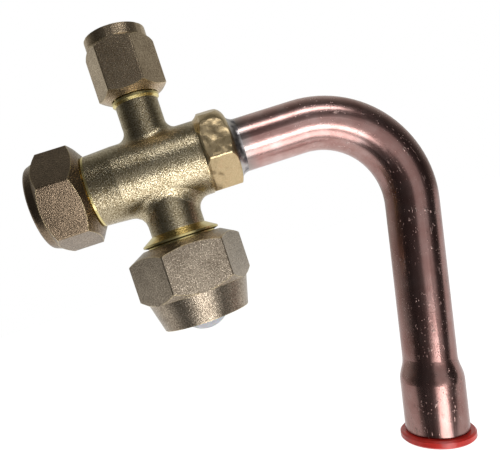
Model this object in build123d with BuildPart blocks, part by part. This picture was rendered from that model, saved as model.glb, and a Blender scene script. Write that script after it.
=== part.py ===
from build123d import *
import os
from math import cos, radians, sin, sqrt, tan

# Refrigerant service valve, in millimetres.
# Origin: centre of the flare port's nose. +Z runs up both ports to the service port.
# +X runs along the barrel, from the stem cap to the copper tube.

# ---- driving dimensions ------------------------------------------------------------
# Clearances
thread_play = 0.05      # radial, between a thread's crest and the root of its mate
fit_play = 0.06         # radial, for plain turning and sliding fits
seat_play = 0.10        # normal to a conical seat
shoulder_play = 0.35    # between a cap's mouth and the shoulder it comes up to
bore_chamfer = 0.5      # lead-in at the mouths of the caps and the nut
drill_angle = 118.0

# Body forging
axis_height = 37.8      # barrel axis above the flare nose
barrel_radius = 10.9
barrel_end_radius = 10.4    # the forging's draft narrows it towards the stem neck
barrel_draft_length = 9.0
shoulder_x = -20.2          # face that the stem neck starts from
shoulder_chamfer = 0.7
service_branch_radius = 6.25
service_root_fillet = 3.0
flare_branch_radius = 8.0
flare_root_fillet = 3.8

# Wrench collar, a hexagon forged a little above the barrel's axis
collar_flats = 21.7
collar_rise = 1.3
collar_turn = 11.0          # front flat tips back by this angle
collar_corner = 1.0
collar_start_x = 13.6
collar_end_x = 22.8
collar_crown_radius = 12.6
collar_lip_radius = 9.3
collar_nose_length = 3.8    # rounded end, from the crown down to the lip
collar_root_length = 2.9    # flare from the barrel up to the crown
collar_root_lead = 1.2      # how far the flare starts ahead of the collar
collar_root_sink = 0.3      # how deep in the barrel it starts
tube_socket_depth = 8.4

# Threads: crest radius and pitch. Necks are cut to the root, bores to the crest.
depth_per_pitch = 0.6134
stem_neck_crest, stem_neck_pitch = 9.5, 1.5
service_crest, service_pitch = 6.35, 1.27
flare_crest, flare_pitch = 11.11, 1.814
stem_crest, stem_pitch = 5.6, 1.0
core_crest, core_pitch = 2.62, 0.7

# Stem neck
neck_length = 10.8
neck_chamfer = 0.7
neck_relief_depth = 0.35
neck_relief_length = 1.6

# Flare port
flare_rim_radius = 11.3
flare_rim_z = 17.9
flare_rim_thickness = 0.55
flare_rim_slope = 32.0      # top of the rim
flare_rim_undercut = 16.0   # its underside
flare_nose_radius = 7.2
flare_bore_radius = 5.7

# Service port
service_height = 36.7       # nose above the barrel axis
service_neck_length = 16.1  # from the rim's lower edge to the nose
service_nose_radius = 3.7
service_rim_radius = 6.9
service_rim_thickness = 1.3
service_bore_radius = 1.8
service_mouth_radius = 3.0
service_mouth_depth = 1.6

# Passages and stem chamber
chamber_radius = 6.4        # behind the stem's thread, where its rings slide
seat_x = 8.6                # where the seat's cone meets the passage
passage_radius = 4.7

# Stem
stem_back_x = -21.9
stem_guide_length = 6.3
stem_travel = 6.5
stem_tip_radius = 3.8
stem_nose_neck_radius = 4.9
stem_nose_neck_length = 7.0
stem_chamfer = 0.3
key_flats = 5.0
key_depth = 6.5
ring_section = 1.5          # O-ring section
ring_squeeze = 0.05
groove_width = 1.75
groove_pitch = 2.7

# Snap ring
snap_thickness = 0.8
snap_width = 1.15
snap_groove_depth = 0.5
snap_play = 0.05
snap_gap_angle = 56.0
snap_lug_radius = 1.25
snap_lug_angle = 6.0        # lug's centre past the gap's edge
snap_lug_hole_radius = 0.55

# Stem cap
stem_cap_flats = 26.0
stem_cap_turn = -18.0
stem_cap_end_radius = 11.9
stem_cap_end_round = 1.3
stem_cap_end_wall = 3.3
stem_cap_collar_radius = 12.9
stem_cap_collar_length = 2.7
stem_cap_slope_length = 1.6     # from the end collar up to the hexagon's corners
stem_cap_bevel_length = 2.55    # from the hexagon's corners down to the mouth
stem_cap_mouth_radius = 11.1
gasket_thickness = 1.0
hex_corner = 0.55           # rounding along the corners of the hexagons

# Service cap
service_cap_flats = 17.9
service_cap_turn = -4.0
service_cap_wall = 3.2
service_seal_thickness = 1.2
service_cap_round = 2.7
service_cap_crown_radius = 9.0
service_cap_crown_height = 4.2  # crown above the hexagon's corners
service_cap_crown_slope = 1.2
service_cap_bevel_length = 1.95
service_cap_mouth_radius = 7.1

# Valve core
core_drop = 0.9             # head below the service nose
core_head_length = 3.2
core_bridge_height = 1.6
core_neck_depth = 0.45      # groove that holds the seal
core_chamfer = 0.2
core_barrel_length = 5.0
core_barrel_radius = 2.0
core_seal_length = 1.6
core_seal_radius = 2.38
core_floor = 1.2
core_cavity_radius = 1.35
core_bridge_width = 3.6
core_pin_radius = 0.4
core_button_radius = 0.85
core_button_length = 0.6
core_pin_rise = 0.5
core_collar_radius = 1.1
core_collar_length = 0.7
core_travel = 1.2
poppet_radius = 1.35
poppet_length = 1.1
poppet_seal_thickness = 0.6
spring_wire_radius = 0.16
spring_coil_radius = 0.8
spring_turns = 4

# Flare nut
flare_nut_flats = 29.4
flare_nut_turn = 10.0
flare_nut_top_z = 16.6
flare_nut_top_radius = 11.7
flare_nut_hex_top_z = 13.7
flare_nut_hex_low_z = 1.4
flare_nut_low_bevel = 1.9
flare_nut_shank_radius = 14.75
flare_nut_end_radius = 12.6
flare_nut_end_z = -6.7
flare_nut_end_round = 0.9
flare_nut_hole_radius = 8.05

# Plastic bonnet on the flare
bonnet_wall = 1.0
bonnet_radius = 7.8
bonnet_drop = 10.1          # lowest point of the dome below the flare nose
bonnet_flange_radius = 9.6

# Copper tube
tube_radius = 7.94
tube_wall = 1.3
tube_run = 20.1             # straight length beyond the collar
bend_radius = 26.6
bend_angle = 102.0
leg_length = 46.4
swage_length = 6.8
socket_length = 14.9
socket_play = 0.11          # radial, round the pipe that is brazed in
socket_wall = 1.25
mouth_round = 0.3

# Braze fillet
braze_reach = 2.2
braze_rise = 1.3
braze_hollow = 0.38         # where the fillet's arc passes, as a share of reach and rise

# Tube plug
plug_flange_radius = 10.9
plug_flange_thickness = 2.3
plug_flange_round = 0.5
plug_depth = 10.0
plug_wall = 1.2
plug_draft = 0.35
plug_tip_chamfer = 0.4

# ---- planes and axes ---------------------------------------------------------------
barrel_axis = Axis((0, 0, axis_height), (1, 0, 0))
barrel_section = Plane(origin=(0, 0, axis_height), x_dir=(1, 0, 0), z_dir=(0, -1, 0))
port_section = Plane.XZ


def across_barrel(x, rise=0.0):
    """Plane facing +X at a station along the barrel, with its own x along -Y and y along -Z."""
    return Plane(origin=(x, 0, axis_height + rise), x_dir=(0, -1, 0), z_dir=(1, 0, 0))


def thread_root(crest, pitch):
    """Radius at the bottom of an external thread's grooves."""
    return crest - depth_per_pitch * pitch


def corner_radius(flats):
    """Radius over the corners of a hexagon."""
    return flats / 2 / cos(radians(30))


stem_neck_root = thread_root(stem_neck_crest, stem_neck_pitch)
service_root = thread_root(service_crest, service_pitch)
flare_root = thread_root(flare_crest, flare_pitch)
service_nose_z = axis_height + service_height
service_rim_z = service_nose_z - service_neck_length
neck_end_x = shoulder_x - neck_length
stem_guide_front = stem_back_x + stem_guide_length

# ---- valve body --------------------------------------------------------------------
# The collar's hexagon, with a flare up from the barrel and a turned, rounded end.
with BuildPart() as wrench_collar:
    with BuildSketch(across_barrel(collar_start_x - collar_root_lead, collar_rise)) as collar_hexagon:
        RegularPolygon(collar_flats / 2, 6, major_radius=False, rotation=30 - collar_turn)
        fillet(collar_hexagon.vertices(), collar_corner)
    extrude(amount=collar_end_x - collar_start_x + collar_root_lead)
    with BuildSketch(barrel_section):
        with BuildLine():
            root_x = collar_start_x - collar_root_lead
            flare_up = TangentArc(
                (root_x, barrel_radius - collar_root_sink),
                (root_x + collar_root_length, collar_crown_radius),
                tangent=(1, 0.1),
            )
            crown = Line(flare_up @ 1, (collar_end_x - collar_nose_length, collar_crown_radius))
            nose = TangentArc(crown @ 1, (collar_end_x, collar_lip_radius), tangent=(1, 0))
            Polyline(nose @ 1, (collar_end_x, 0), (root_x, 0), flare_up @ 0)
        make_face()
    revolve(axis=barrel_axis, mode=Mode.INTERSECT)

with BuildPart() as valve_body:
    # Forged barrel, narrowed by its draft towards the stem neck
    with BuildSketch(barrel_section):
        with BuildLine():
            Polyline(
                (shoulder_x, 0),
                (shoulder_x, barrel_end_radius - shoulder_chamfer),
                (shoulder_x + shoulder_chamfer, barrel_end_radius),
                (shoulder_x + barrel_draft_length, barrel_radius),
                (collar_start_x, barrel_radius),
                (collar_start_x, 0),
                close=True,
            )
        make_face()
    revolve(axis=barrel_axis)
    add(wrench_collar.part)
    # Branches up to the service port and down to the flare port, with forged roots
    with BuildSketch(Plane.XY.offset(axis_height)):
        Circle(service_branch_radius)
    extrude(amount=service_rim_z - axis_height)
    with BuildSketch(Plane.XY.offset(flare_rim_z)):
        Circle(flare_branch_radius)
    extrude(amount=axis_height - flare_rim_z)
    root_span = flare_branch_radius + flare_root_fillet
    root_heights = ((0, axis_height, flare_root_fillet), (axis_height, service_nose_z, service_root_fillet))
    for low_z, high_z, radius in root_heights:
        curves = valve_body.edges().filter_by(GeomType.BSPLINE)
        curves = curves.filter_by_position(Axis.X, -root_span, root_span)
        fillet(curves.filter_by_position(Axis.Z, low_z, high_z), radius)
    # Turned stem neck: thread root with a relief at the shoulder
    with BuildSketch(barrel_section):
        with BuildLine():
            Polyline(
                (shoulder_x, 0),
                (shoulder_x, stem_neck_root - neck_relief_depth),
                (shoulder_x - neck_relief_length, stem_neck_root - neck_relief_depth),
                (shoulder_x - neck_relief_length - neck_relief_depth, stem_neck_root),
                (neck_end_x + neck_chamfer, stem_neck_root),
                (neck_end_x, stem_neck_root - neck_chamfer),
                (neck_end_x, 0),
                close=True,
            )
        make_face()
    revolve(axis=barrel_axis)
    # Turned service port: rim, thread root and 45 degree nose
    with BuildSketch(port_section):
        with BuildLine():
            rim_step = service_rim_radius - service_branch_radius
            Polyline(
                (0, service_rim_z),
                (service_branch_radius, service_rim_z),
                (service_rim_radius, service_rim_z + rim_step),
                (service_rim_radius, service_rim_z + service_rim_thickness),
                (service_root, service_rim_z + service_rim_thickness),
                (service_root, service_nose_z - (service_root - service_nose_radius)),
                (service_nose_radius, service_nose_z),
                (0, service_nose_z),
                close=True,
            )
        make_face()
    revolve(axis=Axis.Z)
    # Turned flare port: sharp rim, thread root and 45 degree nose ending at the origin
    with BuildSketch(port_section):
        with BuildLine():
            rim_rise = (flare_rim_radius - flare_branch_radius) * tan(radians(flare_rim_slope))
            rim_fall = (flare_rim_radius - flare_root) * tan(radians(flare_rim_undercut))
            Polyline(
                (0, flare_rim_z + rim_rise),
                (flare_branch_radius, flare_rim_z + rim_rise),
                (flare_rim_radius, flare_rim_z),
                (flare_rim_radius, flare_rim_z - flare_rim_thickness),
                (flare_root, flare_rim_z - flare_rim_thickness - rim_fall),
                (flare_root, flare_root - flare_nose_radius),
                (flare_nose_radius, 0),
                (0, 0),
                close=True,
            )
        make_face()
    revolve(axis=Axis.Z)
    # Stem chamber, seat, passage and tube socket, bored along the barrel
    with BuildSketch(barrel_section):
        with BuildLine():
            thread_bore = stem_crest + thread_play
            seat_length = thread_bore - passage_radius
            socket_x = collar_end_x - tube_socket_depth
            snap_x = stem_back_x - stem_travel - snap_play
            snap_groove_radius = chamber_radius + snap_groove_depth
            Polyline(
                (neck_end_x, 0),
                (neck_end_x, chamber_radius),
                (snap_x - snap_thickness - snap_play, chamber_radius),
                (snap_x - snap_thickness - snap_play, snap_groove_radius),
                (snap_x + snap_play, snap_groove_radius),
                (snap_x + snap_play, chamber_radius),
                (stem_guide_front, chamber_radius),
                (stem_guide_front + chamber_radius - thread_bore, thread_bore),
                (seat_x - seat_length, thread_bore),
                (seat_x, passage_radius),
                (socket_x, passage_radius),
                (socket_x, tube_radius + fit_play),
                (collar_end_x, tube_radius + fit_play),
                (collar_end_x, 0),
                close=True,
            )
        make_face()
    revolve(axis=barrel_axis, mode=Mode.SUBTRACT)
    # Flare bore up into the chamber
    with BuildSketch(Plane.XY):
        Circle(flare_bore_radius)
    extrude(amount=axis_height, mode=Mode.SUBTRACT)
    # Service bore: mouth, core thread, sealing cone and drilling
    core_head_z = service_nose_z - core_drop
    core_shoulder_z = core_head_z - core_head_length
    core_bore = core_crest + thread_play
    core_seal_z = core_shoulder_z - core_seal_length
    core_foot_z = core_shoulder_z - core_barrel_length
    poppet_room_z = core_foot_z - poppet_length - core_travel - 2 * seat_play
    core_well = core_barrel_radius + fit_play
    with BuildSketch(port_section):
        with BuildLine():
            Polyline(
                (0, axis_height),
                (service_bore_radius, axis_height),
                (service_bore_radius, poppet_room_z),
                (core_well, poppet_room_z),
                (core_well, core_seal_z),
                (core_seal_radius + fit_play, core_shoulder_z),
                (core_bore, core_shoulder_z),
                (core_bore, service_nose_z - service_mouth_depth),
                (service_mouth_radius, service_nose_z - service_mouth_depth),
                (service_mouth_radius, service_nose_z),
                (0, service_nose_z),
                close=True,
            )
        make_face()
    revolve(axis=Axis.Z, mode=Mode.SUBTRACT)
valve_body.part.label = "valve_body"

# ---- stem --------------------------------------------------------------------------
stem_guide_radius = chamber_radius - fit_play
stem_nose_x = seat_x - seat_play * sqrt(2)    # where the nose reaches the passage radius
ring_centre_radius = chamber_radius - ring_squeeze - ring_section / 2
groove_floor = ring_centre_radius - ring_section / 2 - ring_squeeze
first_groove_x = stem_back_x + (stem_guide_length - groove_pitch) / 2


def stem_groove_x(index):
    """Middle of a ring groove, counted from the back of the stem."""
    return first_groove_x + index * groove_pitch


with BuildPart() as stem:
    with BuildSketch(barrel_section):
        with BuildLine():
            nose_base_x = stem_nose_x - (stem_nose_neck_radius - passage_radius)
            tip_x = stem_nose_x + passage_radius - stem_tip_radius
            thread_runout = stem_crest - stem_nose_neck_radius
            Polyline(
                (stem_back_x, 0),
                (stem_back_x, stem_guide_radius - stem_chamfer),
                (stem_back_x + stem_chamfer, stem_guide_radius),
                (stem_guide_front, stem_guide_radius),
                (stem_guide_front + stem_guide_radius - stem_crest, stem_crest),
                (nose_base_x - stem_nose_neck_length, stem_crest),
                (nose_base_x - stem_nose_neck_length + thread_runout, stem_nose_neck_radius),
                (nose_base_x, stem_nose_neck_radius),
                (tip_x, stem_tip_radius),
                (tip_x, 0),
                close=True,
            )
        make_face()
    revolve(axis=barrel_axis)
    # Two ring grooves
    for index in range(2):
        with BuildSketch(across_barrel(stem_groove_x(index) - groove_width / 2)):
            Circle(chamber_radius)
            Circle(groove_floor, mode=Mode.SUBTRACT)
        extrude(amount=groove_width, mode=Mode.SUBTRACT)
    # Hexagon key socket with a drill point
    with BuildSketch(across_barrel(stem_back_x)):
        RegularPolygon(key_flats / 2, 6, major_radius=False)
    extrude(amount=key_depth, mode=Mode.SUBTRACT)
    with BuildSketch(barrel_section):
        with BuildLine():
            drill_x = stem_back_x + key_depth
            drill_point = key_flats / 2 / tan(radians(drill_angle / 2))
            Polyline((drill_x, 0), (drill_x, key_flats / 2), (drill_x + drill_point, 0), close=True)
        make_face()
    revolve(axis=barrel_axis, mode=Mode.SUBTRACT)
stem.part.label = "stem"

with BuildPart() as stem_o_ring_outer:
    with BuildSketch(barrel_section):
        with Locations((stem_groove_x(0), ring_centre_radius)):
            Circle(ring_section / 2)
    revolve(axis=barrel_axis)
stem_o_ring_outer.part.label = "stem_o_ring_outer"

with BuildPart() as stem_o_ring_inner:
    with BuildSketch(barrel_section):
        with Locations((stem_groove_x(1), ring_centre_radius)):
            Circle(ring_section / 2)
    revolve(axis=barrel_axis)
stem_o_ring_inner.part.label = "stem_o_ring_inner"

# Snap ring: an open ring with two drilled lugs, in its groove behind the stem
snap_outer = snap_groove_radius - snap_play
with BuildPart() as stem_retaining_ring:
    with BuildSketch(across_barrel(snap_x - snap_thickness)):
        Circle(snap_outer)
        Circle(snap_outer - snap_width, mode=Mode.SUBTRACT)
        with BuildLine():
            reach = 2 * snap_outer
            half_gap = radians(snap_gap_angle / 2)
            Polyline(
                (0, 0),
                (reach * sin(half_gap), reach * cos(half_gap)),
                (-reach * sin(half_gap), reach * cos(half_gap)),
                close=True,
            )
        make_face(mode=Mode.SUBTRACT)
        lug_place = snap_outer - snap_lug_radius
        lug_angle = radians(snap_gap_angle / 2 + snap_lug_angle)
        lugs = [(side * lug_place * sin(lug_angle), lug_place * cos(lug_angle)) for side in (-1, 1)]
        with Locations(lugs):
            Circle(snap_lug_radius)
            Circle(snap_lug_hole_radius, mode=Mode.SUBTRACT)
    extrude(amount=snap_thickness)
stem_retaining_ring.part.label = "stem_retaining_ring"

# ---- stem cap ----------------------------------------------------------------------
stem_cap_floor_x = neck_end_x - gasket_thickness
stem_cap_end_x = stem_cap_floor_x - stem_cap_end_wall
stem_cap_bore = stem_neck_crest + thread_play
stem_cap_corner = corner_radius(stem_cap_flats)
stem_cap_mouth_x = shoulder_x + shoulder_play
with BuildPart() as stem_cap:
    # Outer form: rounded collar at the end, hexagon, bevelled mouth
    with BuildSketch(barrel_section):
        with BuildLine():
            collar_x = stem_cap_end_x + stem_cap_collar_length
            Polyline(
                (stem_cap_end_x, 0),
                (stem_cap_end_x, stem_cap_end_radius),
                (collar_x, stem_cap_collar_radius),
                (collar_x + stem_cap_slope_length, stem_cap_corner),
                (stem_cap_mouth_x - stem_cap_bevel_length, stem_cap_corner),
                (stem_cap_mouth_x, stem_cap_mouth_radius),
                (stem_cap_mouth_x, 0),
                close=True,
            )
        end_rim = make_face().vertices().sort_by(Axis.X).group_by(Axis.X)[0].sort_by(Axis.Z)[-1]
        fillet(end_rim, stem_cap_end_round)
    revolve(axis=barrel_axis)
    with BuildSketch(across_barrel(stem_cap_end_x)) as stem_cap_hexagon:
        RegularPolygon(stem_cap_flats / 2, 6, major_radius=False, rotation=30 - stem_cap_turn)
        fillet(stem_cap_hexagon.vertices(), hex_corner)
    extrude(amount=stem_cap_mouth_x - stem_cap_end_x, mode=Mode.INTERSECT)
    # Threaded bore with a bevelled mouth
    with BuildSketch(barrel_section):
        with BuildLine():
            Polyline(
                (stem_cap_floor_x, 0),
                (stem_cap_floor_x, stem_cap_bore),
                (stem_cap_mouth_x - bore_chamfer, stem_cap_bore),
                (stem_cap_mouth_x, stem_cap_bore + bore_chamfer),
                (stem_cap_mouth_x, 0),
                close=True,
            )
        make_face()
    revolve(axis=barrel_axis, mode=Mode.SUBTRACT)
stem_cap.part.label = "stem_cap"

with BuildPart() as stem_cap_gasket:
    with BuildSketch(across_barrel(stem_cap_floor_x)):
        Circle(stem_neck_root)
        Circle(chamber_radius, mode=Mode.SUBTRACT)
    extrude(amount=neck_end_x - stem_cap_floor_x)
stem_cap_gasket.part.label = "stem_cap_gasket"

# ---- service cap -------------------------------------------------------------------
service_cap_floor_z = service_nose_z + service_seal_thickness
service_cap_top_z = service_cap_floor_z + service_cap_wall
service_cap_bore = service_crest + thread_play
service_cap_corner = corner_radius(service_cap_flats)
service_cap_mouth_z = service_rim_z + service_rim_thickness + shoulder_play
with BuildPart() as service_cap:
    with BuildSketch(port_section):
        with BuildLine():
            crown_z = service_cap_top_z - service_cap_crown_height
            Polyline(
                (0, service_cap_mouth_z),
                (service_cap_mouth_radius, service_cap_mouth_z),
                (service_cap_corner, service_cap_mouth_z + service_cap_bevel_length),
                (service_cap_corner, crown_z),
                (service_cap_crown_radius, crown_z + service_cap_crown_slope),
                (service_cap_crown_radius, service_cap_top_z),
                (0, service_cap_top_z),
                close=True,
            )
        crown_rim = make_face().vertices().group_by(Axis.Z)[-1].sort_by(Axis.X)[-1]
        fillet(crown_rim, service_cap_round)
    revolve(axis=Axis.Z)
    with BuildSketch(Plane.XY.offset(service_cap_mouth_z)) as service_cap_hexagon:
        RegularPolygon(service_cap_flats / 2, 6, major_radius=False, rotation=service_cap_turn)
        fillet(service_cap_hexagon.vertices(), hex_corner)
    extrude(amount=service_cap_top_z - service_cap_mouth_z, mode=Mode.INTERSECT)
    with BuildSketch(port_section):
        with BuildLine():
            Polyline(
                (0, service_cap_mouth_z),
                (service_cap_bore + bore_chamfer, service_cap_mouth_z),
                (service_cap_bore, service_cap_mouth_z + bore_chamfer),
                (service_cap_bore, service_cap_floor_z),
                (0, service_cap_floor_z),
                close=True,
            )
        make_face()
    revolve(axis=Axis.Z, mode=Mode.SUBTRACT)
service_cap.part.label = "service_cap"

with BuildPart() as service_cap_seal:
    with BuildSketch(Plane.XY.offset(service_nose_z)):
        Circle(service_root)
    extrude(amount=service_seal_thickness)
service_cap_seal.part.label = "service_cap_seal"

# ---- valve core --------------------------------------------------------------------
with BuildPart() as core_body:
    with BuildSketch(port_section):
        with BuildLine():
            neck_radius = core_barrel_radius - core_neck_depth
            Polyline(
                (0, core_foot_z),
                (core_barrel_radius - core_chamfer, core_foot_z),
                (core_barrel_radius, core_foot_z + core_chamfer),
                (core_barrel_radius, core_seal_z),
                (neck_radius, core_seal_z),
                (neck_radius, core_shoulder_z),
                (core_crest, core_shoulder_z),
                (core_crest, core_head_z - core_chamfer),
                (core_crest - core_chamfer, core_head_z),
                (0, core_head_z),
                close=True,
            )
        make_face()
    revolve(axis=Axis.Z)
    # Spring cavity, open at the top
    with BuildSketch(Plane.XY.offset(core_foot_z + core_floor)):
        Circle(core_cavity_radius)
    extrude(amount=core_head_z - core_foot_z - core_floor, mode=Mode.SUBTRACT)
    # Pin hole in the floor
    with BuildSketch(Plane.XY.offset(core_foot_z)):
        Circle(core_pin_radius + fit_play)
    extrude(amount=core_floor, mode=Mode.SUBTRACT)
    # Two flats at the head leave the bridge that a core key grips
    with BuildSketch(Plane.XY.offset(core_head_z - core_bridge_height)):
        for side in (-1, 1):
            with Locations((side * (core_bridge_width / 2 + core_crest), 0)):
                Rectangle(2 * core_crest, 2 * core_crest)
    extrude(amount=core_bridge_height, mode=Mode.SUBTRACT)
core_body.part.label = "core_body"

with BuildPart() as core_body_seal:
    with BuildSketch(port_section):
        with BuildLine():
            Polyline(
                (neck_radius, core_seal_z),
                (core_well - fit_play / 2, core_seal_z),
                (core_seal_radius, core_shoulder_z),
                (neck_radius, core_shoulder_z),
                close=True,
            )
        make_face()
    revolve(axis=Axis.Z)
core_body_seal.part.label = "core_body_seal"

# Pin: button on top, collar that the spring lifts, poppet cup below
pin_top_z = core_head_z + core_pin_rise
collar_top_z = core_head_z - core_travel
collar_low_z = collar_top_z - core_collar_length
cavity_floor_z = core_foot_z + core_floor
cup_top_z = core_foot_z - poppet_seal_thickness
with BuildPart() as core_pin:
    with BuildSketch(port_section):
        with BuildLine():
            Polyline(
                (0, core_foot_z - poppet_length),
                (poppet_radius - core_chamfer, core_foot_z - poppet_length),
                (poppet_radius, core_foot_z - poppet_length + core_chamfer),
                (poppet_radius, cup_top_z),
                (core_pin_radius, cup_top_z),
                (core_pin_radius, pin_top_z - core_button_length),
                (core_button_radius, pin_top_z - core_button_length),
                (core_button_radius, pin_top_z - core_chamfer),
                (core_button_radius - core_chamfer, pin_top_z),
                (0, pin_top_z),
                close=True,
            )
        make_face()
    revolve(axis=Axis.Z)
core_pin.part.label = "core_pin"

with BuildPart() as core_collar:
    with BuildSketch(Plane.XY.offset(collar_low_z)):
        Circle(core_collar_radius)
        Circle(core_pin_radius, mode=Mode.SUBTRACT)
    extrude(amount=core_collar_length)
core_collar.part.label = "core_collar"

with BuildPart() as core_poppet_seal:
    with BuildSketch(Plane.XY.offset(cup_top_z)):
        Circle(poppet_radius)
        Circle(core_pin_radius, mode=Mode.SUBTRACT)
    extrude(amount=poppet_seal_thickness)
core_poppet_seal.part.label = "core_poppet_seal"

# Spring: its ends lie on the cavity floor and under the collar
spring_height = collar_low_z - cavity_floor_z - 2 * spring_wire_radius
with BuildPart() as core_spring:
    with BuildLine() as coil:
        Helix(
            pitch=spring_height / spring_turns,
            height=spring_height,
            radius=spring_coil_radius,
            center=(0, 0, cavity_floor_z + spring_wire_radius),
        )
    with BuildSketch(Plane(origin=coil.line @ 0, z_dir=coil.line % 0)):
        Circle(spring_wire_radius)
    sweep(path=coil.line)
core_spring.part.label = "core_spring"

# ---- flare nut ---------------------------------------------------------------------
# The nut's seat lies parallel to the flare, one bonnet wall and its clearances away.
seat_drop = (bonnet_wall + 2 * seat_play) * sqrt(2)
flare_nut_bore = flare_crest + thread_play
flare_nut_corner = corner_radius(flare_nut_flats)
nut_seat_top_radius = bonnet_flange_radius + 3 * seat_play


def flare_z(radius):
    """Height of the body's flare at a radius."""
    return radius - flare_nose_radius


with BuildPart() as flare_nut:
    with BuildSketch(port_section):
        with BuildLine():
            Polyline(
                (0, flare_nut_end_z),
                (flare_nut_end_radius, flare_nut_end_z),
                (flare_nut_shank_radius, flare_nut_hex_low_z),
                (flare_nut_corner, flare_nut_hex_low_z + flare_nut_low_bevel),
                (flare_nut_corner, flare_nut_hex_top_z),
                (flare_nut_top_radius, flare_nut_top_z),
                (0, flare_nut_top_z),
                close=True,
            )
        shank_rim = make_face().vertices().group_by(Axis.Z)[0].sort_by(Axis.X)[-1]
        fillet(shank_rim, flare_nut_end_round)
    revolve(axis=Axis.Z)
    # The hexagon stops where the tapered shank begins
    with BuildSketch(Plane.XY.offset(flare_nut_end_z)) as flare_nut_hexagon:
        RegularPolygon(flare_nut_flats / 2, 6, major_radius=False, rotation=flare_nut_turn)
        fillet(flare_nut_hexagon.vertices(), hex_corner)
    extrude(amount=flare_nut_top_z - flare_nut_end_z, mode=Mode.INTERSECT)
    with BuildSketch(port_section):
        with BuildLine():
            nut_seat_top_z = flare_z(nut_seat_top_radius) - seat_drop
            nut_seat_low_z = flare_z(flare_nut_hole_radius) - seat_drop
            Polyline(
                (0, flare_nut_end_z),
                (flare_nut_hole_radius, flare_nut_end_z),
                (flare_nut_hole_radius, nut_seat_low_z),
                (nut_seat_top_radius, nut_seat_top_z),
                (flare_nut_bore, nut_seat_top_z),
                (flare_nut_bore, flare_nut_top_z - bore_chamfer),
                (flare_nut_bore + bore_chamfer, flare_nut_top_z),
                (0, flare_nut_top_z),
                close=True,
            )
        make_face()
    revolve(axis=Axis.Z, mode=Mode.SUBTRACT)
flare_nut.part.label = "flare_nut"

# ---- plastic bonnet ----------------------------------------------------------------
with BuildPart() as flare_bonnet:
    with BuildSketch(port_section):
        with BuildLine():
            inner_drop = seat_play * sqrt(2)
            outer_drop = inner_drop + bonnet_wall * sqrt(2)
            bonnet_inner = bonnet_radius - bonnet_wall
            dome_z = bonnet_radius - bonnet_drop
            outer_top = (bonnet_flange_radius, flare_z(bonnet_flange_radius) - outer_drop)
            inner_top = (bonnet_flange_radius, flare_z(bonnet_flange_radius) - inner_drop)
            inner_low = (bonnet_inner, flare_z(bonnet_inner) - inner_drop)
            dome_outer = CenterArc((0, dome_z), bonnet_radius, -90, 90)
            dome_inner = CenterArc((0, dome_z), bonnet_inner, -90, 90)
            Line(dome_inner @ 0, dome_outer @ 0)
            Polyline(
                dome_outer @ 1,
                (bonnet_radius, flare_z(bonnet_radius) - outer_drop),
                outer_top,
                inner_top,
                inner_low,
                dome_inner @ 1,
            )
        make_face()
    revolve(axis=Axis.Z)
flare_bonnet.part.label = "flare_bonnet"

# ---- copper tube -------------------------------------------------------------------
with BuildLine(barrel_section) as tube_route:
    run = Line((socket_x + fit_play, 0), (collar_end_x + tube_run, 0))
    bend = JernArc(run @ 1, (1, 0), bend_radius, -bend_angle)
    Line(bend @ 1, (bend @ 1) + (bend % 1) * leg_length)

leg_foot = tube_route.line @ 1
leg_direction = tube_route.line % 1
# Section plane of the leg's end: x down the leg, y across it
leg_section = Plane(origin=leg_foot, x_dir=leg_direction, z_dir=(0, 1, 0))
leg_axis = Axis(leg_foot, leg_direction)
tube_bore_radius = tube_radius - tube_wall
socket_bore_radius = tube_radius + socket_play
socket_radius = socket_bore_radius + socket_wall
socket_end = swage_length + socket_length

with BuildPart() as copper_tube:
    with BuildSketch(across_barrel(socket_x + fit_play)):
        Circle(tube_radius)
        Circle(tube_bore_radius, mode=Mode.SUBTRACT)
    sweep(path=tube_route.line)
    # Swage and socket, revolved about the leg
    with BuildSketch(leg_section):
        with BuildLine():
            outer = Spline((0, tube_radius), (swage_length, socket_radius), tangents=((1, 0), (1, 0)))
            inner = Spline((0, tube_bore_radius), (swage_length, socket_bore_radius), tangents=((1, 0), (1, 0)))
            Polyline(
                outer @ 1,
                (socket_end - mouth_round, socket_radius),
                (socket_end, socket_radius - mouth_round),
                (socket_end, socket_bore_radius),
                inner @ 1,
            )
            Line(inner @ 0, outer @ 0)
        make_face()
    revolve(axis=leg_axis)
copper_tube.part.label = "copper_tube"

# Braze fillet between the collar's end and the tube
with BuildPart() as braze_ring:
    with BuildSketch(barrel_section):
        with BuildLine():
            heel = (collar_end_x, tube_radius)
            Polyline((collar_end_x + braze_reach, tube_radius), heel, (collar_end_x, tube_radius + braze_rise))
            ThreePointArc(
                (collar_end_x, tube_radius + braze_rise),
                (collar_end_x + braze_hollow * braze_reach, tube_radius + braze_hollow * braze_rise),
                (collar_end_x + braze_reach, tube_radius),
            )
        make_face()
    revolve(axis=barrel_axis)
braze_ring.part.label = "braze_ring"

# Push-in plug: flange against the socket's mouth, hollow tapered spigot inside
spigot_radius = socket_bore_radius - fit_play
spigot_tip_x = socket_end - plug_depth
flange_end_x = socket_end + plug_flange_thickness
with BuildPart() as tube_plug:
    with BuildSketch(leg_section):
        with BuildLine():
            Polyline(
                (spigot_tip_x, 0),
                (spigot_tip_x, spigot_radius - plug_draft - plug_tip_chamfer),
                (spigot_tip_x + plug_tip_chamfer, spigot_radius - plug_draft),
                (socket_end, spigot_radius),
                (socket_end, plug_flange_radius - plug_flange_round),
                (socket_end + plug_flange_round, plug_flange_radius),
                (flange_end_x - plug_flange_round, plug_flange_radius),
                (flange_end_x, plug_flange_radius - plug_flange_round),
                (flange_end_x, spigot_radius - plug_wall),
                (spigot_tip_x + plug_wall, spigot_radius - plug_draft - plug_wall),
                (spigot_tip_x + plug_wall, 0),
                close=True,
            )
        make_face()
    revolve(axis=leg_axis)
tube_plug.part.label = "tube_plug"

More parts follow.
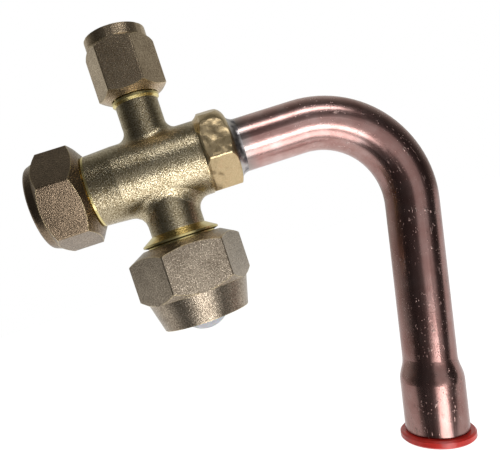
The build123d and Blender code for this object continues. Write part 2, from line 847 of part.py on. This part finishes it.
# ---- STEP files --------------------------------------------------------------------
os.makedirs("parts", exist_ok=True)
pieces = [
    valve_body, stem, stem_o_ring_outer, stem_o_ring_inner, stem_retaining_ring, stem_cap, stem_cap_gasket,
    service_cap, service_cap_seal, core_body, core_body_seal, core_pin, core_collar, core_poppet_seal,
    core_spring, flare_nut, flare_bonnet, copper_tube, braze_ring, tube_plug,
]
for piece in pieces:
    export_step(piece.part, f"parts/{piece.part.label}.step")
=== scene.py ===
from math import pi, radians

import bmesh
import bpy
from mathutils import Matrix, Vector


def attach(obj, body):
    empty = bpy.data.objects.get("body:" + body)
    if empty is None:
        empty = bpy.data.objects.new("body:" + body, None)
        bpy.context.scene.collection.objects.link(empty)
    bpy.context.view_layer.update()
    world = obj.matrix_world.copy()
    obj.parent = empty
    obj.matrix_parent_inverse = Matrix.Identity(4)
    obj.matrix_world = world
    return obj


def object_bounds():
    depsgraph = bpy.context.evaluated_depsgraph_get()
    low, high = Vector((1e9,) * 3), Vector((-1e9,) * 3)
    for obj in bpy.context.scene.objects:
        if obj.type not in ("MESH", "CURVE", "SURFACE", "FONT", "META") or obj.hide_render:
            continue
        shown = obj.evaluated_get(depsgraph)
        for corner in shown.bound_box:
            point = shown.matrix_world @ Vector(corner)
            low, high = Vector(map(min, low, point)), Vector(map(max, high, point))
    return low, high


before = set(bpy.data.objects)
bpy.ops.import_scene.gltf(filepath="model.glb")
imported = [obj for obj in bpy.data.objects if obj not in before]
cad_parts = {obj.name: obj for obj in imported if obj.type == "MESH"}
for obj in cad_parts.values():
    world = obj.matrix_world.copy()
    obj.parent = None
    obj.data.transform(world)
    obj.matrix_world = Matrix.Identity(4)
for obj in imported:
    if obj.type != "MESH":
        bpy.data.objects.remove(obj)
cad_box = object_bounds()


# ---- studio ---------------------------------------------------------------------------
# The valve stands above a pale floor in a room that is white behind it and dark in front.
# Two soft lamps shine up from below the camera, a weak one from beside it and a narrow one
# down from above.
def node(tree, kind, inputs=None, **settings):
    """Adds a shader node with its settings, and links or sets its inputs by name or number."""
    made = tree.nodes.new("ShaderNode" + kind)
    for name, value in settings.items():
        setattr(made, name, value)
    for socket, value in (inputs or {}).items():
        if isinstance(value, bpy.types.NodeSocket):
            tree.links.new(value, made.inputs[socket])
        else:
            made.inputs[socket].default_value = value
    return made


def stops(ramp, *places):
    """Sets a colour ramp's stops, each a position and a colour."""
    elements = ramp.color_ramp.elements
    while len(elements) < len(places):
        elements.new(1.0)
    for element, (position, colour) in zip(elements, places):
        element.position = position
        element.color = colour
    return ramp.outputs[0]


def painted_with(name):
    """An empty procedural material and its node tree."""
    made = bpy.data.materials.new(name)
    made.use_nodes = True
    made.node_tree.nodes.clear()
    return made, made.node_tree


scene = bpy.context.scene
scene.view_settings.view_transform = "Standard"

camera_data = bpy.data.cameras.new("studio_camera")
camera_data.lens = 37.75
camera_data.sensor_width = 36
camera_data.clip_start = 0.005
camera = bpy.data.objects.new("studio_camera", camera_data)
camera.location = (0.00838, -0.15415, 0.01305)
camera.rotation_euler = [radians(angle) for angle in (89.46, 18.36, -4.22)]
scene.collection.objects.link(camera)
scene.camera = camera

# The room gets lighter from the camera's side, y = -1, to the far wall, y = 1
world = bpy.data.worlds.new("studio_room")
world.use_nodes = True
scene.world = world
tree = world.node_tree
tree.nodes.clear()
facing = node(tree, "SeparateXYZ", {0: node(tree, "TexCoord").outputs["Generated"]})
depth = node(tree, "MapRange", {"Value": facing.outputs["Y"], "From Min": -1, "From Max": 1})
room = stops(node(tree, "ValToRGB", {0: depth.outputs[0]}),
             (0.05, (0.08, 0.08, 0.08, 1)), (0.32, (0.03, 0.03, 0.03, 1)),
             (0.52, (0.12, 0.12, 0.11, 1)), (0.86, (0.62, 0.62, 0.58, 1)))
path = node(tree, "LightPath")
walls = node(tree, "Background", {"Color": room, "Strength": 1.0})
paper = node(tree, "Background", {"Color": (1, 1, 1, 1), "Strength": 1.0})
seen = node(tree, "MixShader", {
    0: path.outputs["Is Camera Ray"], 1: walls.outputs[0], 2: paper.outputs[0],
})
node(tree, "OutputWorld", {0: seen.outputs[0]})

# The floor is below the pulled-out plug too, and its front edge is under the valve, so
# that the metal's front sees the dark side of the room
plug_travel = 0.014
floor_gap = 0.001
floor_front_y = -0.035
floor_half = 1.0
floor_mesh = bpy.data.meshes.new("pale_floor")
bm = bmesh.new()
bmesh.ops.create_grid(bm, x_segments=1, y_segments=1, size=floor_half)
floor_z = cad_box[0].z - plug_travel - floor_gap
bm.transform(Matrix.Translation((0, floor_front_y + floor_half, floor_z)))
bm.to_mesh(floor_mesh)
bm.free()
floor = bpy.data.objects.new("pale_floor", floor_mesh)
scene.collection.objects.link(floor)
# Matt paint: the camera sees it almost white, with the valve's soft shadow on it, and
# metal mirrors it a little brighter than the lamps make it
floor_paint, tree = painted_with("pale_floor_paint")
path = node(tree, "LightPath")
matt = node(tree, "BsdfDiffuse", {"Color": (0.9, 0.9, 0.9, 1)})
glow = node(tree, "Emission", {"Color": (1, 1, 1, 1), "Strength": 0.85})
looked_at = node(tree, "AddShader", {0: matt.outputs[0], 1: glow.outputs[0]})
sheen = node(tree, "Emission", {"Color": (1, 1, 1, 1), "Strength": 0.7})
mirrored = node(tree, "AddShader", {0: matt.outputs[0], 1: sheen.outputs[0]})
paint = node(tree, "MixShader", {
    0: path.outputs["Is Glossy Ray"], 1: matt.outputs[0], 2: mirrored.outputs[0],
})
paint = node(tree, "MixShader", {
    0: path.outputs["Is Camera Ray"], 1: paint.outputs[0], 2: looked_at.outputs[0],
})
node(tree, "OutputMaterial", {0: paint.outputs[0]})
floor_mesh.materials.append(floor_paint)

# The lower lamps shine through the floor, which is left out of their shadows
under_floor = bpy.data.collections.new("under_floor_light")
under_floor.objects.link(floor)
under_floor.collection_objects[0].light_linking.link_state = "EXCLUDE"
view = camera.rotation_euler.to_matrix()
lit_centre = Vector((0.015, 0, 0.01))
lamp_distance = 0.6
barrel_slope = Vector((0.949, 0.314, 0))      # the barrel's direction in the camera's own axes
lamps = (
    # name, direction in the camera's own axes (right, up, back), width, height, power
    ("low_lamp", (0.31, -0.38, 0.87), 0.36, 0.14, 1.0),
    ("lower_lamp", (0.27, -0.78, 0.58), 0.48, 0.24, 1.1),
    ("side_lamp", (0.40, 0.04, 0.92), 0.50, 0.50, 0.50),
    ("high_lamp", (0.05, 0.82, 0.57), 0.40, 0.10, 0.8),
)
for name, toward, width, height, power in lamps:
    lamp = bpy.data.lights.new(name, "AREA")
    lamp.shape = "RECTANGLE"
    lamp.size = width
    lamp.size_y = height
    lamp.energy = power
    place = bpy.data.objects.new(name, lamp)
    offset = view @ Vector(toward).normalized() * lamp_distance
    up = offset.cross(view @ barrel_slope).normalized()
    across = up.cross(offset).normalized()
    turn = Matrix((across, up, offset.normalized())).transposed().to_4x4()
    place.matrix_world = Matrix.Translation(lit_centre + offset) @ turn
    place.visible_camera = False
    place.light_linking.blocker_collection = under_floor
    scene.collection.objects.link(place)


# ---- valve body -----------------------------------------------------------------------
# A hot brass forging, blasted with grit to a matt sparkle. Its ports, the stem neck and
# the ends were turned afterwards, so they are brighter and yellower.
def linear(hex_colour):
    """Linear RGBA of an sRGB colour written as six hex digits."""
    parts = [int(hex_colour[i:i + 2], 16) / 255 for i in (0, 2, 4)]
    return [
        part / 12.92 if part <= 0.04045 else ((part + 0.055) / 1.055) ** 2.4 for part in parts
    ] + [1]


def finish_with(name, material):
    """Gives a CAD node its finish."""
    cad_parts[name].data.materials.clear()
    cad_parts[name].data.materials.append(material)


def band_between(tree, value, start, end, start_blur, end_blur):
    """1 where the value lies between start and end, 0 outside, blurred at both ends."""
    past = node(tree, "MapRange", {
        "Value": value, "From Min": start - start_blur, "From Max": start + start_blur,
    })
    short = node(tree, "MapRange", {
        "Value": value, "From Min": end + end_blur, "From Max": end - end_blur,
    })
    inside = node(tree, "Math", {0: past.outputs[0], 1: short.outputs[0]}, operation="MULTIPLY")
    return inside.outputs[0]


def lathe_marks(tree, value, smooth, rough):
    """Tool marks 0.15 mm apart along the value, a lathe's feed: their roughness and bump."""
    lathe = node(tree, "TexNoise", {
        "W": value, "Scale": 1 / 0.00015, "Detail": 2.0,
    }, noise_dimensions="1D")
    gloss = node(tree, "MapRange", {
        "Value": lathe.outputs[0], "From Min": 0.3, "From Max": 0.7,
        "To Min": smooth, "To Max": rough,
    })
    marks = node(tree, "Bump", {
        "Height": lathe.outputs[0], "Strength": 1.0, "Distance": 0.000012,
    })
    return gloss.outputs[0], marks.outputs[0]


# The two colours that go into a colour Mix node and the one that comes out, by number
mix_a, mix_b, mix_out = 6, 7, 2


def blasted_brass(name, dark, light, turned=(), melted=None, grit=0.00034, depth=0.00008):
    """Grit-blasted brass: matt and finely pitted, with bright bands where it was turned."""
    # Grit 0.3 mm wide leaves pits of about 0.1 mm. They are drawn as wide as the grit, as
    # coarse as they need to be to show
    made, tree = painted_with(name)
    place = node(tree, "TexCoord").outputs["Object"]
    along = node(tree, "SeparateXYZ", {0: place})
    patches = node(tree, "TexNoise", {"Vector": place, "Scale": 1 / 0.006, "Detail": 3.0})
    pits = node(tree, "TexNoise", {
        "Vector": place, "Scale": 1 / grit, "Detail": 2.0, "Roughness": 0.6,
    })
    tone = node(tree, "Math", {0: pits.outputs[0], 1: 0.8}, operation="MULTIPLY")
    tone = node(tree, "Math", {
        0: patches.outputs[0], 1: 0.2, 2: tone.outputs[0],
    }, operation="MULTIPLY_ADD")
    ramp = node(tree, "ValToRGB", {0: tone.outputs[0]})
    colour = stops(ramp, (0.39, linear(dark)), (0.61, linear(light)))
    rough = node(tree, "MapRange", {
        "Value": pits.outputs[0], "From Min": 0.3, "From Max": 0.7,
        "To Min": 0.38, "To Max": 0.22,
    }).outputs[0]
    height = pits.outputs[0]
    lumpy = None
    if melted:
        # Brazing heat left this band lumpy and paler, with most of its pits run together
        axis, start, end = melted
        band = band_between(
            tree, along.outputs[axis], start, end, start_blur=0.0008, end_blur=0.0002,
        )
        lumps = node(tree, "TexNoise", {
            "Vector": place, "Scale": 1 / 0.003, "Detail": 1.0, "Roughness": 0.4,
        })
        lumps = node(tree, "Math", {0: lumps.outputs[0], 1: band}, operation="MULTIPLY")
        lumpy = node(tree, "Bump", {
            "Height": lumps.outputs[0], "Strength": 1.0, "Distance": 0.00045,
        }).outputs[0]
        glaze = node(tree, "MapRange", {"Value": band, "To Max": 0.75}).outputs[0]
        colour = node(tree, "Mix", {
            0: glaze, mix_a: colour, mix_b: linear("D6BD92"),
        }, data_type="RGBA").outputs[mix_out]
        keep = node(tree, "MapRange", {"Value": band, "To Min": 1.0, "To Max": 0.2}).outputs[0]
        height = node(tree, "Math", {0: height, 1: keep}, operation="MULTIPLY").outputs[0]
        rough = node(tree, "MapRange", {"Value": band, "To Min": rough, "To Max": 0.3}).outputs[0]
    bump = node(tree, "Bump", {"Height": height, "Strength": 1.0, "Distance": depth})
    if lumpy:
        tree.links.new(lumpy, bump.inputs["Normal"])
    # The hexagons' corners are rubbed smooth, up to half a millimetre from the edge
    rounded = node(tree, "Bevel", {"Radius": 0.0005}, samples=6).outputs[0]
    flat = node(tree, "NewGeometry").outputs["Normal"]
    edge = node(tree, "VectorMath", {
        0: rounded, 1: flat,
    }, operation="DOT_PRODUCT").outputs["Value"]
    worn = node(tree, "MapRange", {
        "Value": edge, "From Min": 0.995, "From Max": 0.95, "To Max": 0.6,
    }).outputs[0]
    colour = node(tree, "Mix", {
        0: worn, mix_a: colour, mix_b: linear("DCC89C"),
    }, data_type="RGBA").outputs[mix_out]
    surface = node(tree, "BsdfPrincipled", {
        "Base Color": colour, "Metallic": 1.0, "Roughness": rough, "Normal": bump.outputs[0],
    })
    for axis, start, end in turned:
        gloss, marks = lathe_marks(tree, along.outputs[axis], smooth=0.18, rough=0.32)
        cut = node(tree, "BsdfPrincipled", {
            "Base Color": linear("E6D596"), "Metallic": 1.0, "Roughness": gloss, "Normal": marks,
        })
        band = band_between(
            tree, along.outputs[axis], start, end, start_blur=0.0001, end_blur=0.0001,
        )
        surface = node(tree, "MixShader", {0: band, 1: surface.outputs[0], 2: cut.outputs[0]})
    node(tree, "OutputMaterial", {0: surface.outputs[0]})
    return made


flare_rim_top_z = 0.0199
service_rim_low_z = 0.0584
barrel_end_x = -0.0189                        # the bright ring round the stem's end
collar_root_x = 0.0136
collar_face_x = 0.0226
# Each turned band is an axis with its two ends, and its outer end lies past the body
forged_brass = blasted_brass(
    "blasted_forged_brass", "7C6B4B", "D6C8AA", melted=("X", collar_root_x, collar_face_x),
    turned=(
        ("Z", -0.001, flare_rim_top_z), ("Z", service_rim_low_z, 0.08),
        ("X", -0.04, barrel_end_x), ("X", collar_face_x, 0.03),
    ),
)
finish_with("valve_body", forged_brass)


# ---- thread ridges --------------------------------------------------------------------
# The screw threads of the stem neck and of both ports, cut in the same brass on the lathe.
# Each is a right-handed 60 degree ridge, wound round the plain neck and fading at both ends.
def mottled(tree, place, size, dark_stop, light_stop, detail=3.0):
    """Clouds of a size running between two colours, and the height that made them."""
    clouds = node(tree, "TexNoise", {
        "Vector": place, "Scale": 1 / size, "Detail": detail,
    }).outputs[0]
    (low, dark), (high, light) = dark_stop, light_stop
    ramp = node(tree, "ValToRGB", {0: clouds})
    return clouds, stops(ramp, (low, linear(dark)), (high, linear(light)))


def turned_brass(name, axis):
    """Brass turned on a lathe: bright and yellow, with slight stains 4 mm across."""
    made, tree = painted_with(name)
    place = node(tree, "TexCoord").outputs["Object"]
    along = node(tree, "SeparateXYZ", {0: place})
    gloss, marks = lathe_marks(tree, along.outputs[axis], smooth=0.16, rough=0.30)
    _, shade = mottled(tree, place, 0.004, (0.35, "C4A766"), (0.6, "E2D090"))
    metal = node(tree, "BsdfPrincipled", {
        "Base Color": shade, "Metallic": 1.0, "Roughness": gloss, "Normal": marks,
    })
    node(tree, "OutputMaterial", {0: metal.outputs[0]})
    return made


def place_piece(name, bm, body, material):
    """Makes a piece of a finished bmesh, on its body and with its finish."""
    mesh = bpy.data.meshes.new(name)
    bm.to_mesh(mesh)
    bm.free()
    for face in mesh.polygons:
        face.use_smooth = True
    mesh.materials.append(material)
    piece = bpy.data.objects.new(name, mesh)
    scene.collection.objects.link(piece)
    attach(piece, body)


def thread_ridge(name, material, foot, axis, crest, pitch, length):
    """Winds a ridge round an axis, starting at foot: its crest is a radius."""
    foot = Vector(foot)
    axis = Vector(axis)
    side = Vector((0, 1, 0))
    steps = 40                                # round one turn
    sink = 0.00006                            # the ridge starts below the plain neck
    low = crest - 0.6134 * pitch - sink       # a 60 degree thread is 0.6134 pitch deep
    fade_start = 0.3                          # in pitches, and so are the corners' places
    corners = ((low, 0.04), (crest, 0.44), (crest, 0.56), (low, 0.96))
    bm = bmesh.new()
    ring = [bm.verts.new(foot + side * radius + axis * pitch * rise) for radius, rise in corners]
    edges = [bm.edges.new((ring[i - 1], ring[i])) for i in range(len(ring))]
    count = int((length / pitch - 1) * steps)
    bmesh.ops.spin(
        bm, geom=ring + edges, cent=foot, axis=axis, dvec=axis * pitch / steps,
        angle=2 * pi * count / steps, steps=count,
    )
    bmesh.ops.holes_fill(bm, edges=[edge for edge in bm.edges if edge.is_boundary])
    bmesh.ops.recalc_face_normals(bm, faces=bm.faces)
    for vert in bm.verts:
        height = (vert.co - foot).dot(axis)
        out = vert.co - foot - axis * height
        run_in = max(0, height / pitch - fade_start)
        run_out = max(0, (length - height) / pitch - fade_start)
        radius = low + (out.length - low) * min(1, run_in, run_out)
        vert.co = foot + axis * height + out.normalized() * radius
    place_piece(name, bm, "valve", material)


port_brass = turned_brass("turned_port_brass", "Z")
neck_brass = turned_brass("turned_neck_brass", "X")
barrel_z = 0.0378
thread_ridge(
    "stem_neck_thread", neck_brass, foot=(-0.0222, 0, barrel_z), axis=(-1, 0, 0),
    crest=0.0095, pitch=0.0015, length=0.0084,
)
thread_ridge(
    "service_port_thread", port_brass, foot=(0, 0, 0.0599), axis=(0, 0, 1),
    crest=0.00635, pitch=0.00127, length=0.0130,
)
thread_ridge(
    "flare_port_thread", port_brass, foot=(0, 0, 0.0165), axis=(0, 0, -1),
    crest=0.01111, pitch=0.001814, length=0.0135,
)


# ---- copper tube ----------------------------------------------------------------------
# Soft copper pipe, bent once, brazed into the collar at one end and swaged out into a
# socket at the other. Drawing leaves fine streaks along it, and handling leaves scuffs and
# specks on the outside of the bend and the leg.
bend_centre_x = 0.0429
bend_centre_z = 0.0112
bend_radius = 0.0266
bend_angle = radians(102)
tarnish_and_shade_length = 0.035
collar_nose_x = 0.0245
heat_end_x = 0.0285

copper, tree = painted_with("drawn_copper")
place = node(tree, "TexCoord").outputs["Object"]
split = node(tree, "SeparateXYZ", {0: place})
# The place of a point from the bend's centre, and how far round the bend it is
across = node(tree, "Math", {
    0: split.outputs["X"], 1: bend_centre_x,
}, operation="SUBTRACT").outputs[0]
above = node(tree, "Math", {
    0: split.outputs["Z"], 1: bend_centre_z,
}, operation="SUBTRACT").outputs[0]
turn = node(tree, "Math", {0: across, 1: above}, operation="ARCTAN2").outputs[0]
turn = node(tree, "Clamp", {0: turn, 1: 0.0, 2: bend_angle}).outputs[0]
turn_sin = node(tree, "Math", {0: turn}, operation="SINE").outputs[0]
turn_cos = node(tree, "Math", {0: turn}, operation="COSINE").outputs[0]
# How far out from the bend's centre it is, and how far along the tube, which straightens
# the pattern's coordinates
out_x = node(tree, "Math", {0: across, 1: turn_sin}, operation="MULTIPLY").outputs[0]
out = node(tree, "Math", {
    0: above, 1: turn_cos, 2: out_x,
}, operation="MULTIPLY_ADD").outputs[0]
far_x = node(tree, "Math", {0: across, 1: turn_cos}, operation="MULTIPLY").outputs[0]
far_z = node(tree, "Math", {0: above, 1: turn_sin}, operation="MULTIPLY").outputs[0]
far = node(tree, "Math", {0: far_x, 1: far_z}, operation="SUBTRACT").outputs[0]
far = node(tree, "Math", {
    0: turn, 1: bend_radius, 2: far,
}, operation="MULTIPLY_ADD").outputs[0]
tube_place = node(tree, "CombineXYZ", {0: far, 1: split.outputs["Y"], 2: out}).outputs[0]
# Drawing streaks, 25 mm long. Real ones are hair-fine: these are a third of a millimetre
# apart, as coarse as they need to be to show
streak_place = node(tree, "Mapping", {
    "Vector": tube_place, "Scale": (1 / 0.025, 1 / 0.00035, 1 / 0.00035),
})
streaks = node(tree, "TexNoise", {
    "Vector": streak_place.outputs[0], "Scale": 1.0, "Detail": 3.0,
}).outputs[0]
patches = node(tree, "TexNoise", {
    "Vector": tube_place, "Scale": 1 / 0.006, "Detail": 4.0, "Roughness": 0.6,
}).outputs[0]
tone = node(tree, "Math", {0: streaks, 1: 0.2}, operation="MULTIPLY").outputs[0]
tone = node(tree, "Math", {0: patches, 1: 0.8, 2: tone}, operation="MULTIPLY_ADD").outputs[0]
skin = stops(node(tree, "ValToRGB", {0: tone}),
             (0.34, linear("AE847E")), (0.50, linear("C09A94")), (0.66, linear("CFB0AB")))
# Scuffs 2 mm long and 0.4 mm wide, and bright specks up to 0.3 mm across. They come in
# groups, and most of them lie past the straight run
scuff_place = node(tree, "Mapping", {
    "Vector": tube_place, "Rotation": (0, 0, 0.5), "Scale": (1 / 0.002, 1 / 0.0004, 1 / 0.0010),
})
scuffs = node(tree, "TexNoise", {
    "Vector": scuff_place.outputs[0], "Scale": 1.0, "Detail": 2.0,
}).outputs[0]
scuffs = node(tree, "MapRange", {"Value": scuffs, "From Min": 0.65, "From Max": 0.73}).outputs[0]
specks = node(tree, "TexVoronoi", {"Vector": tube_place, "Scale": 1 / 0.0011}).outputs["Distance"]
specks = node(tree, "MapRange", {"Value": specks, "From Min": 0.15, "From Max": 0.07}).outputs[0]
marks = node(tree, "Math", {0: scuffs, 1: specks}, operation="MAXIMUM").outputs[0]
groups = node(tree, "TexNoise", {
    "Vector": tube_place, "Scale": 1 / 0.009, "Detail": 2.0,
}).outputs[0]
groups = node(tree, "MapRange", {"Value": groups, "From Min": 0.38, "From Max": 0.56}).outputs[0]
past_run = node(tree, "MapRange", {
    "Value": far, "From Min": -0.004, "From Max": 0.012, "To Min": 0.15,
}).outputs[0]
where = node(tree, "Math", {0: groups, 1: past_run}, operation="MULTIPLY").outputs[0]
marks = node(tree, "Math", {0: marks, 1: where}, operation="MULTIPLY").outputs[0]
skin = node(tree, "Mix", {
    0: marks, mix_a: skin, mix_b: linear("F0D9D0"),
}, data_type="RGBA").outputs[mix_out]
# Annealing left a plum-brown skin, which sets in round the bend. It is also painted shade: the
# darker skin dims the lamps' highlights round the bend and down the leg
tarnish_and_painted_shade = node(tree, "MapRange", {
    "Value": far, "From Min": 0.0, "From Max": tarnish_and_shade_length, "To Max": 0.6,
}).outputs[0]
skin = node(tree, "Mix", {
    0: tarnish_and_painted_shade, mix_a: skin, mix_b: linear("70504A"),
}, data_type="RGBA").outputs[mix_out]
# Brazing heat greyed the first few millimetres beside the collar
heat = node(tree, "MapRange", {
    "Value": split.outputs["X"], "From Min": heat_end_x, "From Max": collar_nose_x,
}).outputs[0]
skin = node(tree, "Mix", {
    0: heat, mix_a: skin, mix_b: linear("A59C98"),
}, data_type="RGBA").outputs[mix_out]
rough = node(tree, "MapRange", {
    "Value": streaks, "From Min": 0.3, "From Max": 0.7, "To Min": 0.22, "To Max": 0.27,
}).outputs[0]
rough = node(tree, "Math", {0: marks, 1: 0.15, 2: rough}, operation="MULTIPLY_ADD").outputs[0]
grooves = node(tree, "Bump", {
    "Height": streaks, "Strength": 1.0, "Distance": 0.000003,
}).outputs[0]
waves = node(tree, "TexNoise", {
    "Vector": tube_place, "Scale": 1 / 0.005, "Detail": 1.0,
}).outputs[0]
dents = node(tree, "Bump", {
    "Height": waves, "Strength": 1.0, "Distance": 0.00003, "Normal": grooves,
}).outputs[0]
scars = node(tree, "Bump", {
    "Height": marks, "Strength": 1.0, "Distance": 0.00006, "Normal": dents,
}).outputs[0]
metal = node(tree, "BsdfPrincipled", {
    "Base Color": skin, "Metallic": 1.0, "Roughness": rough, "Normal": scars,
})
node(tree, "OutputMaterial", {0: metal.outputs[0]})
finish_with("copper_tube", copper)

# Silver-grey brazing filler, which froze in a slightly lumpy ring with some flux stain
filler, tree = painted_with("frozen_braze_filler")
place = node(tree, "TexCoord").outputs["Object"]
lumps, shade = mottled(tree, place, 0.002, (0.35, "6C686C"), (0.62, "C2BCBA"), detail=2.0)
lumpy = node(tree, "Bump", {"Height": lumps, "Strength": 1.0, "Distance": 0.00012}).outputs[0]
metal = node(tree, "BsdfPrincipled", {
    "Base Color": shade, "Metallic": 1.0, "Roughness": 0.3, "Normal": lumpy,
})
node(tree, "OutputMaterial", {0: metal.outputs[0]})
finish_with("braze_ring", filler)


# ---- stem -----------------------------------------------------------------------------
# Turned brass spindle with a hexagon key socket, sealed by two rubber rings behind its
# thread, and kept in by a spring steel ring that is snapped into the chamber.
finish_with("stem", neck_brass)

# Matt black with a fine grey bloom
rubber, tree = painted_with("moulded_nitrile_rubber")
place = node(tree, "TexCoord").outputs["Object"]
bloom, shade = mottled(tree, place, 0.0004, (0.35, "161616"), (0.7, "2A2A2B"))
grain = node(tree, "Bump", {"Height": bloom, "Strength": 1.0, "Distance": 0.00001}).outputs[0]
solid = node(tree, "BsdfPrincipled", {"Base Color": shade, "Roughness": 0.5, "Normal": grain})
node(tree, "OutputMaterial", {0: solid.outputs[0]})
for name in ("stem_o_ring_outer", "stem_o_ring_inner", "service_cap_seal", "core_poppet_seal"):
    finish_with(name, rubber)

# Grey wire and strip with a film of oil, glossier where the oil is thick
steel, tree = painted_with("oiled_spring_steel")
place = node(tree, "TexCoord").outputs["Object"]
oil, shade = mottled(tree, place, 0.0008, (0.35, "6E7073"), (0.65, "A3A6A8"))
gloss = node(tree, "MapRange", {"Value": oil, "To Min": 0.2, "To Max": 0.4}).outputs[0]
metal = node(tree, "BsdfPrincipled", {"Base Color": shade, "Metallic": 1.0, "Roughness": gloss})
node(tree, "OutputMaterial", {0: metal.outputs[0]})
for name in ("stem_retaining_ring", "core_collar", "core_spring"):
    finish_with(name, steel)


# ---- valve core -----------------------------------------------------------------------
# A small screwed brass insert in the service port, with a sealing sleeve and a spring
# loaded pin that opens it when a charging hose is screwed on.
for name in ("core_body", "core_pin"):
    finish_with(name, port_brass)

# Waxy white, cut from a solid billet
fluoropolymer, tree = painted_with("skived_fluoropolymer")
place = node(tree, "TexCoord").outputs["Object"]
_, shade = mottled(tree, place, 0.001, (0.35, "DAD7CF"), (0.65, "EBE8E1"))
solid = node(tree, "BsdfPrincipled", {"Base Color": shade, "Roughness": 0.38})
node(tree, "OutputMaterial", {0: solid.outputs[0]})
for name in ("core_body_seal", "stem_cap_gasket"):
    finish_with(name, fluoropolymer)


# ---- stem cap -------------------------------------------------------------------------
# A hexagon brass cap that is screwed over the stem neck down on its flat gasket. It was
# forged and blasted, so it is evenly matt and browner than the body.
# Its colours are a darker copy of the caps' brass. This is painted shade over the whole cap,
# which tones down the low lamps' light on its front face
painted_shade_stem_cap_brass = blasted_brass(
    "blasted_stem_cap_brass_painted_shade", "695A49", "A18C75", grit=0.0003, depth=0.00006,
)
finish_with("stem_cap", painted_shade_stem_cap_brass)


# ---- service cap ----------------------------------------------------------------------
# The small hexagon cap of the charging port, blasted brass like the stem cap, with its
# mouth faced off on the lathe. A rubber seal inside it closes on the port's nose.
cap_mouth_z = 0.0590
cap_mouth_edge_z = 0.0600
# Its colours are a lighter copy of the caps' brass. This is painted light over the whole cap,
# which brightens its front face where the lamps leave it dim
painted_light_small_cap_brass = blasted_brass(
    "blasted_service_cap_brass_painted_light", "9C876D", "DAC5A8", depth=0.00006,
    turned=(("Z", cap_mouth_z, cap_mouth_edge_z),),
)
finish_with("service_cap", painted_light_small_cap_brass)


# ---- flare nut ------------------------------------------------------------------------
# A forged hexagon nut with a long round shank, blasted all over. A soft plastic bonnet
# inside it keeps dirt out of the port until the pipe is fitted.
nut_brass = blasted_brass(
    "blasted_flare_nut_brass", "786B5C", "BDAE9B", grit=0.0003, depth=0.00007,
)
finish_with("flare_nut", nut_brass)

# Milky and half translucent
polyethylene, tree = painted_with("moulded_milky_polyethylene")
place = node(tree, "TexCoord").outputs["Object"]
_, shade = mottled(tree, place, 0.002, (0.35, "C2C3CA"), (0.65, "D2D3D8"))
solid = node(tree, "BsdfPrincipled", {
    "Base Color": shade, "Roughness": 0.35, "Subsurface Weight": 0.2, "Subsurface Scale": 0.002,
})
node(tree, "OutputMaterial", {0: solid.outputs[0]})
finish_with("flare_bonnet", polyethylene)


# ---- tube plug ------------------------------------------------------------------------
# A moulded plug of glossy red polyethylene, pushed into the socket to keep the tube clean.
# The melt flowed in unevenly, which left its skin slightly wavy.
red_plastic, tree = painted_with("moulded_red_polyethylene")
place = node(tree, "TexCoord").outputs["Object"]
flow, shade = mottled(tree, place, 0.003, (0.35, "CE3029"), (0.65, "E63C31"))
skin = node(tree, "Bump", {"Height": flow, "Strength": 1.0, "Distance": 0.00006}).outputs[0]
solid = node(tree, "BsdfPrincipled", {"Base Color": shade, "Roughness": 0.3, "Normal": skin})
node(tree, "OutputMaterial", {0: solid.outputs[0]})
finish_with("tube_plug", red_plastic)
